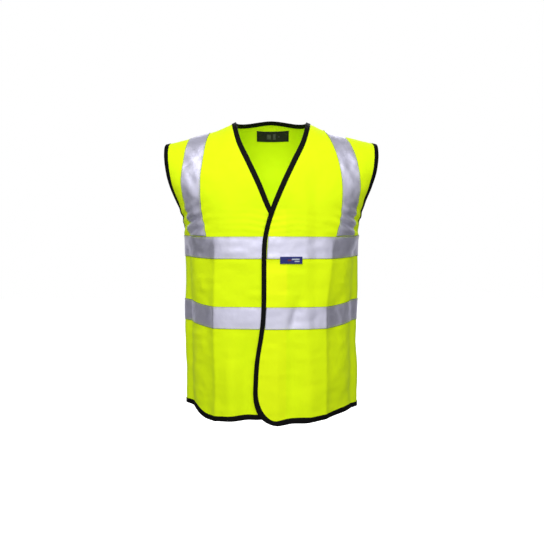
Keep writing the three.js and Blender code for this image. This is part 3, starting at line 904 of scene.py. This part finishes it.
def tape(name, cloth, low_line, high_line, body, nodes):
    """Makes a reflective tape between two lines in the pattern. Returns its two rows of stitches."""
    count = max(12, round(line_length(low_line) / EDGE_STEP))
    low, high = resample(low_line, count), resample(high_line, count)
    section = flat_section(ON_FABRIC, ON_FABRIC + TAPE, **TAPE_SECTION)
    obj = loft(name, cloth, low, high - low, *section, MATERIALS["reflective_tape"], tape_pucker)
    mark_shaded_rim(obj, 2 * len(section[0]))
    settle(obj, body, nodes)
    length = line_length(cloth.lay((low + high) / 2, ON_FABRIC))
    inset = TAPE_STITCH_INSET / TAPE_WIDTH
    rows = [low + (high - low) * share for share in (inset, 1 - inset)]
    return [(cloth, row, ON_FABRIC + TAPE + ON_TAPE_THREAD) for row in rows]


def bound_edge(name, cloth, line, inward, body, nodes):
    """Makes a folded binding and returns its rows of stitches. inward is 1 if the cloth is to the right."""
    ways = to_the_right(line) * inward
    outer, inner = folded_section()
    obj = loft(name, cloth, line, ways, outer, inner, MATERIALS["black_binding"])
    settle(obj, body, nodes)
    length = line_length(cloth.lay(line, 0))
    row = line + ways * (BINDING_WIDTH - BINDING_STITCH_INSET)
    return [(cloth, row, side * (ON_FABRIC + BINDING + ON_CLOTH_THREAD)) for side in (1, -1)]


def seen_rectangle(cloth, x, z, width, height, columns=16):
    """The lower and upper lines of a piece that looks rectangular from the front."""
    across = np.linspace(x - width / 2, x + width / 2, columns)
    levels = (z - height / 2, z + height / 2)
    return [cloth.from_front(np.stack([across, np.full(columns, level)], 1)) for level in levels]


def small_piece(name, cloth, lines, low, high, material, slot, body, nodes=(), across=8):
    starts, ends = lines
    section = flat_section(low, high, across, SMALL_ROUND_SHARE)
    obj = loft(name, cloth, starts, ends - starts, *section, MATERIALS[material])
    return settle(obj, body, nodes)


# ---- The back

TAPE_INSET = BINDING_WIDTH + GAP
nape = nape_line()
hem_back = back_hem()
arm_back = {1: armhole(back, 1), -1: armhole(back, -1)}
NAMES = {1: "left", -1: "right"}


SIDE_SEAM_POINTS = 130
SHOULDER_SEAM_POINTS = 60


def seam_run(cloth, hand, low_z, high_z):
    """The side seam between two heights, upwards."""
    heights = np.linspace(low_z, high_z, SIDE_SEAM_POINTS)
    return np.array([cloth.at_height(seam_column(hand), z) for z in heights])


def shoulder_run(start, end):
    return resample(np.array([start, end]), SHOULDER_SEAM_POINTS)


def join(*lines):
    """Lines joined end to end into a closed outline, without repeated points."""
    return np.concatenate([line[:-1] for line in lines])


def cloth_panel(name, cloth, outline):
    return closed_sheet(name, cloth, outline, -HALF_FABRIC, HALF_FABRIC, MATERIALS["hi_vis_fabric"])


back_outline = join(
    hem_back,
    seam_run(back, 1, LEFT_SEAM_END, -ARMHOLE_DROP),
    arm_back[1],
    shoulder_run(arm_back[1][-1], nape[0]),
    nape,
    shoulder_run(nape[-1], arm_back[-1][-1]),
    arm_back[-1][::-1],
    seam_run(back, -1, RIGHT_SEAM_END, -ARMHOLE_DROP)[::-1],
)
panel = cloth_panel("panel_back", back, back_outline)
settle(panel, "body", ["back_panel"])


BRACE_STEP = 0.001
# An edge that meets a binding is tried at these shares of its distance
BRACE_SHARES = np.linspace(1, 0.3, 29)
OFF_SHOULDER = 0.0002


def brace_lines(cloth, hand, outline):
    """The two edges of a shoulder brace, from the upper band to the shoulder, kept inside the bindings."""
    band = BANDS["upper"]["drop"]
    at_shoulder = BRACE_X_SHOULDER[NAMES[hand]]
    middle = spline(
        [
            (BRACE_X_BAND, -band),
            (BRACE_X_BAND + 0.7 * (BRACE_X_CHEST - BRACE_X_BAND), -0.76 * band),
            (BRACE_X_CHEST, -0.5 * band),
            (at_shoulder + 0.6 * (BRACE_X_CHEST - at_shoulder), -0.25 * band),
            (at_shoulder, float(shoulder_line(at_shoulder))),
        ],
        200,
    )
    line = evenly(cloth.from_front(middle * (hand, 1)), BRACE_STEP)
    limit = band_edge(cloth, BANDS["upper"], TAPE_WIDTH / 2)
    edges = []
    for way in (-hand, hand):
        moved = beside(line, way * TAPE_WIDTH / 2)
        chosen = moved.copy()
        done = np.zeros(len(line), bool)
        for share in BRACE_SHARES:
            trial = line + (moved - line) * share
            fits = inside(outline, trial)
            fresh = fits & ~done
            chosen[fresh] = trial[fresh]
            done |= fits
        above_band = chosen[:, 1] > np.interp(chosen[:, 0], limit[:, 0], limit[:, 1]) + GAP
        on_cloth = chosen[:, 1] < -OFF_SHOULDER
        edges.append(chosen[above_band & on_cloth])
    return edges


def inset_back():
    """The back's outline inside its bindings. The side seams have none."""
    parts = [
        beside(hem_back, -TAPE_INSET),
        beside(arm_back[1], -TAPE_INSET),
        beside(nape, -TAPE_INSET),
        beside(arm_back[-1], TAPE_INSET)[::-1],
    ]
    return np.concatenate(parts)


back_threads, black_back = [], []
for level, band in BANDS.items():
    edges = [band_edge(back, band, s * TAPE_WIDTH / 2) for s in (-1, 1)]
    back_threads += tape(f"tape_{level}_back", back, *edges, "body", [f"band_{level}_back"])
for hand, side in NAMES.items():
    edges = brace_lines(back, hand, inset_back())
    back_threads += tape(f"tape_brace_back_{side}", back, *edges, "body", [f"brace_back_{side}"])
    node = f"binding_armhole_back_{side}"
    black_back += bound_edge(f"edging_armhole_back_{side}", back, arm_back[hand], -hand, "body", [node])
for name, line, node in (("neck", nape, "binding_neck_back"), ("hem", hem_back, "binding_hem_back")):
    black_back += bound_edge(f"edging_{name}_back", back, line, -1, "body", [node])
settle(stitches("stitches_tape_back", back_threads, MATERIALS["yellow_thread"]))
settle(stitches("stitches_edging_back", black_back, MATERIALS["black_thread"]))

# ---- The seams' turned-in edges, inside the back

SEAM_ALLOWANCE = 0.0105
SEAM_MARGIN = 0.016
SEAM_SECTION = {"across": 5, "round_share": 0.08}
SEAM_ROWS = (0.25, 0.75)


def seam_edge(name, line, inward):
    """Makes a seam's turned-in edge along a line. Returns its rows of stitches."""
    ways = to_the_right(line) * inward * SEAM_ALLOWANCE
    outer, inner = flat_section(-ON_FABRIC - FABRIC, -ON_FABRIC, **SEAM_SECTION)
    obj = loft(name, back, line, ways, outer, inner, MATERIALS["hi_vis_fabric"])
    settle(obj)
    line_length(back.lay(line, -ON_FABRIC))
    return [(back, line + ways * share, -ON_FABRIC - FABRIC - ON_CLOTH_THREAD) for share in SEAM_ROWS]


seam_threads = []
margin = SEAM_MARGIN / SHOULDER_LENGTH
shares = np.linspace(margin, 1 - margin, SHOULDER_SEAM_POINTS)[:, None]
for hand, side in NAMES.items():
    seam_end = LEFT_SEAM_END if hand > 0 else RIGHT_SEAM_END
    line = seam_run(back, hand, seam_end + SEAM_MARGIN, -ARMHOLE_DROP - SEAM_MARGIN)
    seam_threads += seam_edge(f"seam_side_{side}", line, -hand)
    at_arm, at_neck = arm_back[hand][-1], nape[0 if hand > 0 else -1]
    line = at_arm + (at_neck - at_arm) * shares
    seam_threads += seam_edge(f"seam_shoulder_{side}", line, -hand)
settle(stitches("stitches_seams", seam_threads, MATERIALS["yellow_thread"]))

# ---- The neck label, inside the back

MARK = 0.0002  # how far a woven mark stands out of its label
# Each mark: its place along the label from the middle, its width and its height
NECK_MARKS = ((-0.010, 0.011, 0.011), (0.004, 0.007, 0.013), (0.016, 0.003, 0.003))

label_top = -ON_FABRIC - LABEL
lines = seen_rectangle(back, NECK_LABEL["x"], -NECK_LABEL["drop"], NECK_LABEL["width"], NECK_LABEL["height"])
label = small_piece(
    "label_neck",
    back,
    lines,
    label_top,
    -ON_FABRIC,
    "black_label",
    "black_label",
    "body",
    ["neck_label"],
    across=12,
)
for k, (offset, width, height) in enumerate(NECK_MARKS):
    lines = seen_rectangle(back, NECK_LABEL["x"] + offset, -NECK_LABEL["drop"], width, height, 6)
    name = f"label_neck_block_{k}"
    small_piece(name, back, lines, label_top - MARK, label_top, "label_grey", "black_label", "body")

# ---- The fronts


CUT_STEP = 0.0005


def cut_band(cloth, hand, band, above, outline):
    """A band's edge on one front, from beside the front edge's binding to the side seam."""
    line = evenly(band_edge(cloth, band, above), CUT_STEP)
    kept = line[inside(outline, line)]
    return kept if hand > 0 else kept[::-1]


def build_front(cloth, hand, lap, sweep, hem_drop, hem_rise):
    """One front with its tapes, bindings and thread."""
    side = NAMES[hand]
    body = ("body", f"{side}_front")
    edge = front_edge(cloth, hand, lap, sweep, hem_drop, hem_rise)
    arm = armhole(cloth, hand)
    hem_z = hem_rise[2] - hem_drop
    side_seam = seam_run(cloth, hand, hem_z, -ARMHOLE_DROP)
    outline = join(edge, side_seam, arm, shoulder_run(arm[-1], edge[0]))
    made = cloth_panel(f"panel_front_{side}", cloth, outline)
    mark_painted_backing_light(made, hand)
    settle(made, body, [f"front_side_{side}", f"front_flap_{side}"])
    within = np.concatenate([beside(edge, -hand * TAPE_INSET), beside(arm, -hand * TAPE_INSET)])
    threads = []
    for level, band in BANDS.items():
        edges = [cut_band(cloth, hand, band, s * TAPE_WIDTH / 2, within) for s in (-1, 1)]
        nodes = [f"band_{level}_side_{side}", f"band_{level}_flap_{side}"]
        threads += tape(f"tape_{level}_front_{side}", cloth, *edges, body, nodes)
    edges = brace_lines(cloth, hand, within)
    threads += tape(f"tape_brace_front_{side}", cloth, *edges, "body", [f"brace_front_{side}"])
    sewn = stitches(f"stitches_tape_front_{side}", threads, MATERIALS["yellow_thread"])
    settle(sewn, body)
    nodes = [f"binding_neck_front_{side}", f"binding_front_edge_{side}", f"binding_hem_side_{side}"]
    black = bound_edge(f"edging_front_{side}", cloth, edge, -hand, body, nodes)
    node = f"binding_armhole_front_{side}"
    black += bound_edge(f"edging_armhole_front_{side}", cloth, arm, -hand, "body", [node])
    sewn = stitches(f"stitches_edging_front_{side}", black, MATERIALS["black_thread"])
    settle(sewn, body)


def mark_painted_backing_light(obj, hand):
    """Stores the mask of painted light on the left front: where it lies over the other front, and over the
    fastening patch.
    """
    points = np.array([v.co for v in obj.data.vertices])
    x, z = points[:, 0], points[:, 2]
    # Painted light over the other front, below the neck, and over the fastening patch
    lapped = 1 - smoothstep(x, RIGHT_LAP - 0.004, RIGHT_LAP)
    doubled_painted_light = 0.45 * lapped * smoothstep(-z, NECK_DROP, NECK_DROP + 0.01)
    patch = PATCHES["middle"]
    from_middle = np.abs(z + patch["drop"])
    over = (1 - smoothstep(from_middle, patch["height"] / 2 - 0.002, patch["height"] / 2 + 0.002))
    over = over * (1 - smoothstep(x, RIGHT_LAP - 0.001, RIGHT_LAP + 0.003))
    value = np.clip(doubled_painted_light + 0.5 * over, 0, 1) if hand > 0 else 0 * x
    obj.data.attributes.new("backed_painted_light", "FLOAT", "POINT").data.foreach_set("value", value.astype(np.float32))


build_front(left_front, 1, LEFT_LAP, EDGE_SWEEP, LEFT_HEM_DROP, LEFT_HEM_RISE)
build_front(right_front, -1, RIGHT_LAP, 0, RIGHT_HEM_DROP, RIGHT_HEM_RISE)

# ---- Fastening and tab

patch_x = -LEFT_LAP + BINDING_WIDTH + 2 * GAP + PATCH_WIDTH / 2
for name, patch in PATCHES.items():
    for kind, cloth, low, high, body in (
        ("hook", left_front, -ON_FABRIC - PATCH, -ON_FABRIC, "left_front"),
        ("loop", right_front, ON_FABRIC, ON_FABRIC + PATCH, "right_front"),
    ):
        lines = seen_rectangle(cloth, patch_x, -patch["drop"], PATCH_WIDTH, patch["height"])
        looks = ("hook_and_loop", "hook_and_loop", body, [f"{kind}_patch_{name}"])
        made = small_piece(f"fastening_{kind}_{name}", cloth, lines, low, high, *looks)

tab_z = -(BANDS["upper"]["drop"] + TAPE_WIDTH / 2 - TAB["over_tape"] + TAB["height"] / 2)
tab_low = ON_FABRIC + TAPE + 2 * GAP
tab_top = tab_low + LABEL
lines = seen_rectangle(left_front, TAB["x"], tab_z, TAB["width"], TAB["height"])
looks = ("navy_label", "navy_label", "tab", ["tab_label"])
tab = small_piece("label_tab", left_front, lines, tab_low, tab_top, *looks)
# Each mark: its place across and above the tab's middle, its width, its height and its material
TAB_MARKS = (
    (0.010, 0.0022, 0.018, 0.0030, "label_pale"),
    (0.013, -0.0024, 0.011, 0.0026, "label_pale"),
    (-0.004, 0.0004, 0.008, 0.0034, "label_red"),
)
for k, (offset, above, width, height, material) in enumerate(TAB_MARKS):
    lines = seen_rectangle(left_front, TAB["x"] + offset, tab_z + above, width, height, 8)
    name = f"label_tab_bar_{k}"
    small_piece(name, left_front, lines, tab_top, tab_top + MARK, material, "navy_label", "tab")

# ---- Studio

CAMERA = {"place": (0.002, -1.520, -0.304), "pitch_down": 2.1, "lens": 41.2}
MIDDLE = Vector((0, 0, -0.36))
FLOOR_Z = -1.08
FLOOR_REACH = 8.0
SENSOR_WIDTH = 36
# The world's light to the sides, and in front and behind, and between which shares of a way's Y it changes
ROOM = {"sides": 0.03, "front_and_back": 0.74, "from": 0.34, "to": 0.72}
SOFTBOXES = {
    "key": {"place": (-0.10, -1.05, 0.85), "size": 1.4, "power": 18},
    "back_light": {"place": (0.30, 1.60, 0.75), "size": 1.6, "power": 22},
}


def add_camera():
    data = bpy.data.cameras.new("camera")
    data.lens = CAMERA["lens"]
    data.sensor_width = SENSOR_WIDTH
    camera = bpy.data.objects.new("camera", data)
    camera.location = CAMERA["place"]
    camera.rotation_euler = (math.radians(90 - CAMERA["pitch_down"]), 0, 0)
    bpy.context.scene.collection.objects.link(camera)
    bpy.context.scene.camera = camera


def add_softbox(name, place, size, power):
    data = bpy.data.lights.new(name, "AREA")
    data.shape = "DISK"
    data.size = size
    data.energy = power
    light = bpy.data.objects.new(name, data)
    light.location = place
    light.rotation_euler = (MIDDLE - Vector(place)).to_track_quat("-Z", "Y").to_euler()
    light.visible_camera = False
    bpy.context.scene.collection.objects.link(light)


def add_world():
    """White to the eye. As light it is bright in front and behind, and dark to the sides."""
    world = bpy.data.worlds.new("studio")
    world.use_nodes = True
    bpy.context.scene.world = world
    tree = world.node_tree

    def add(kind, **inputs):
        node = tree.nodes.new(kind)
        for key, value in inputs.items():
            socket = node.inputs[key.replace("_", " ")]
            if isinstance(value, bpy.types.NodeSocket):
                tree.links.new(value, socket)
            else:
                socket.default_value = value
        return node

    way = add("ShaderNodeTexCoord").outputs["Generated"]
    along = add("ShaderNodeSeparateXYZ", Vector=way).outputs["Y"]
    depth = tree.nodes.new("ShaderNodeMath")
    depth.operation = "ABSOLUTE"
    tree.links.new(along, depth.inputs[0])
    room = add(
        "ShaderNodeMapRange",
        Value=depth.outputs[0],
        From_Min=ROOM["from"],
        From_Max=ROOM["to"],
        To_Min=ROOM["sides"],
        To_Max=ROOM["front_and_back"],
    )
    seen = add("ShaderNodeLightPath").outputs["Is Camera Ray"]
    strength = add("ShaderNodeMapRange", Value=seen, To_Min=room.outputs["Result"], To_Max=1.0)
    tree.links.new(strength.outputs["Result"], tree.nodes["Background"].inputs["Strength"])
    tree.nodes["Background"].inputs["Color"].default_value = (1, 1, 1, 1)


def add_floor():
    ways = ((-1, -1), (1, -1), (1, 1), (-1, 1))
    corners = np.array([(x * FLOOR_REACH, y * FLOOR_REACH, FLOOR_Z) for x, y in ways])
    s = Shader("floor", Roughness=0.9, Emission_Color=(1, 1, 1, 1), Emission_Strength=1.0)
    s.drive("Base Color", s.mix(s.noise(2), (0.84, 0.84, 0.84), (0.88, 0.88, 0.88)))
    floor = make_mesh("floor", corners, [(0, 1, 2, 3)], corners[:, :2], s.material)
    floor.visible_diffuse = False  # it is bright for the eye only, and doesn't light the vest from below
    floor.visible_glossy = False


add_camera()
add_world()
add_floor()
for name, box in SOFTBOXES.items():
    add_softbox(name, **box)
bpy.context.scene.view_settings.view_transform = "Standard"

bpy.context.view_layer.update()
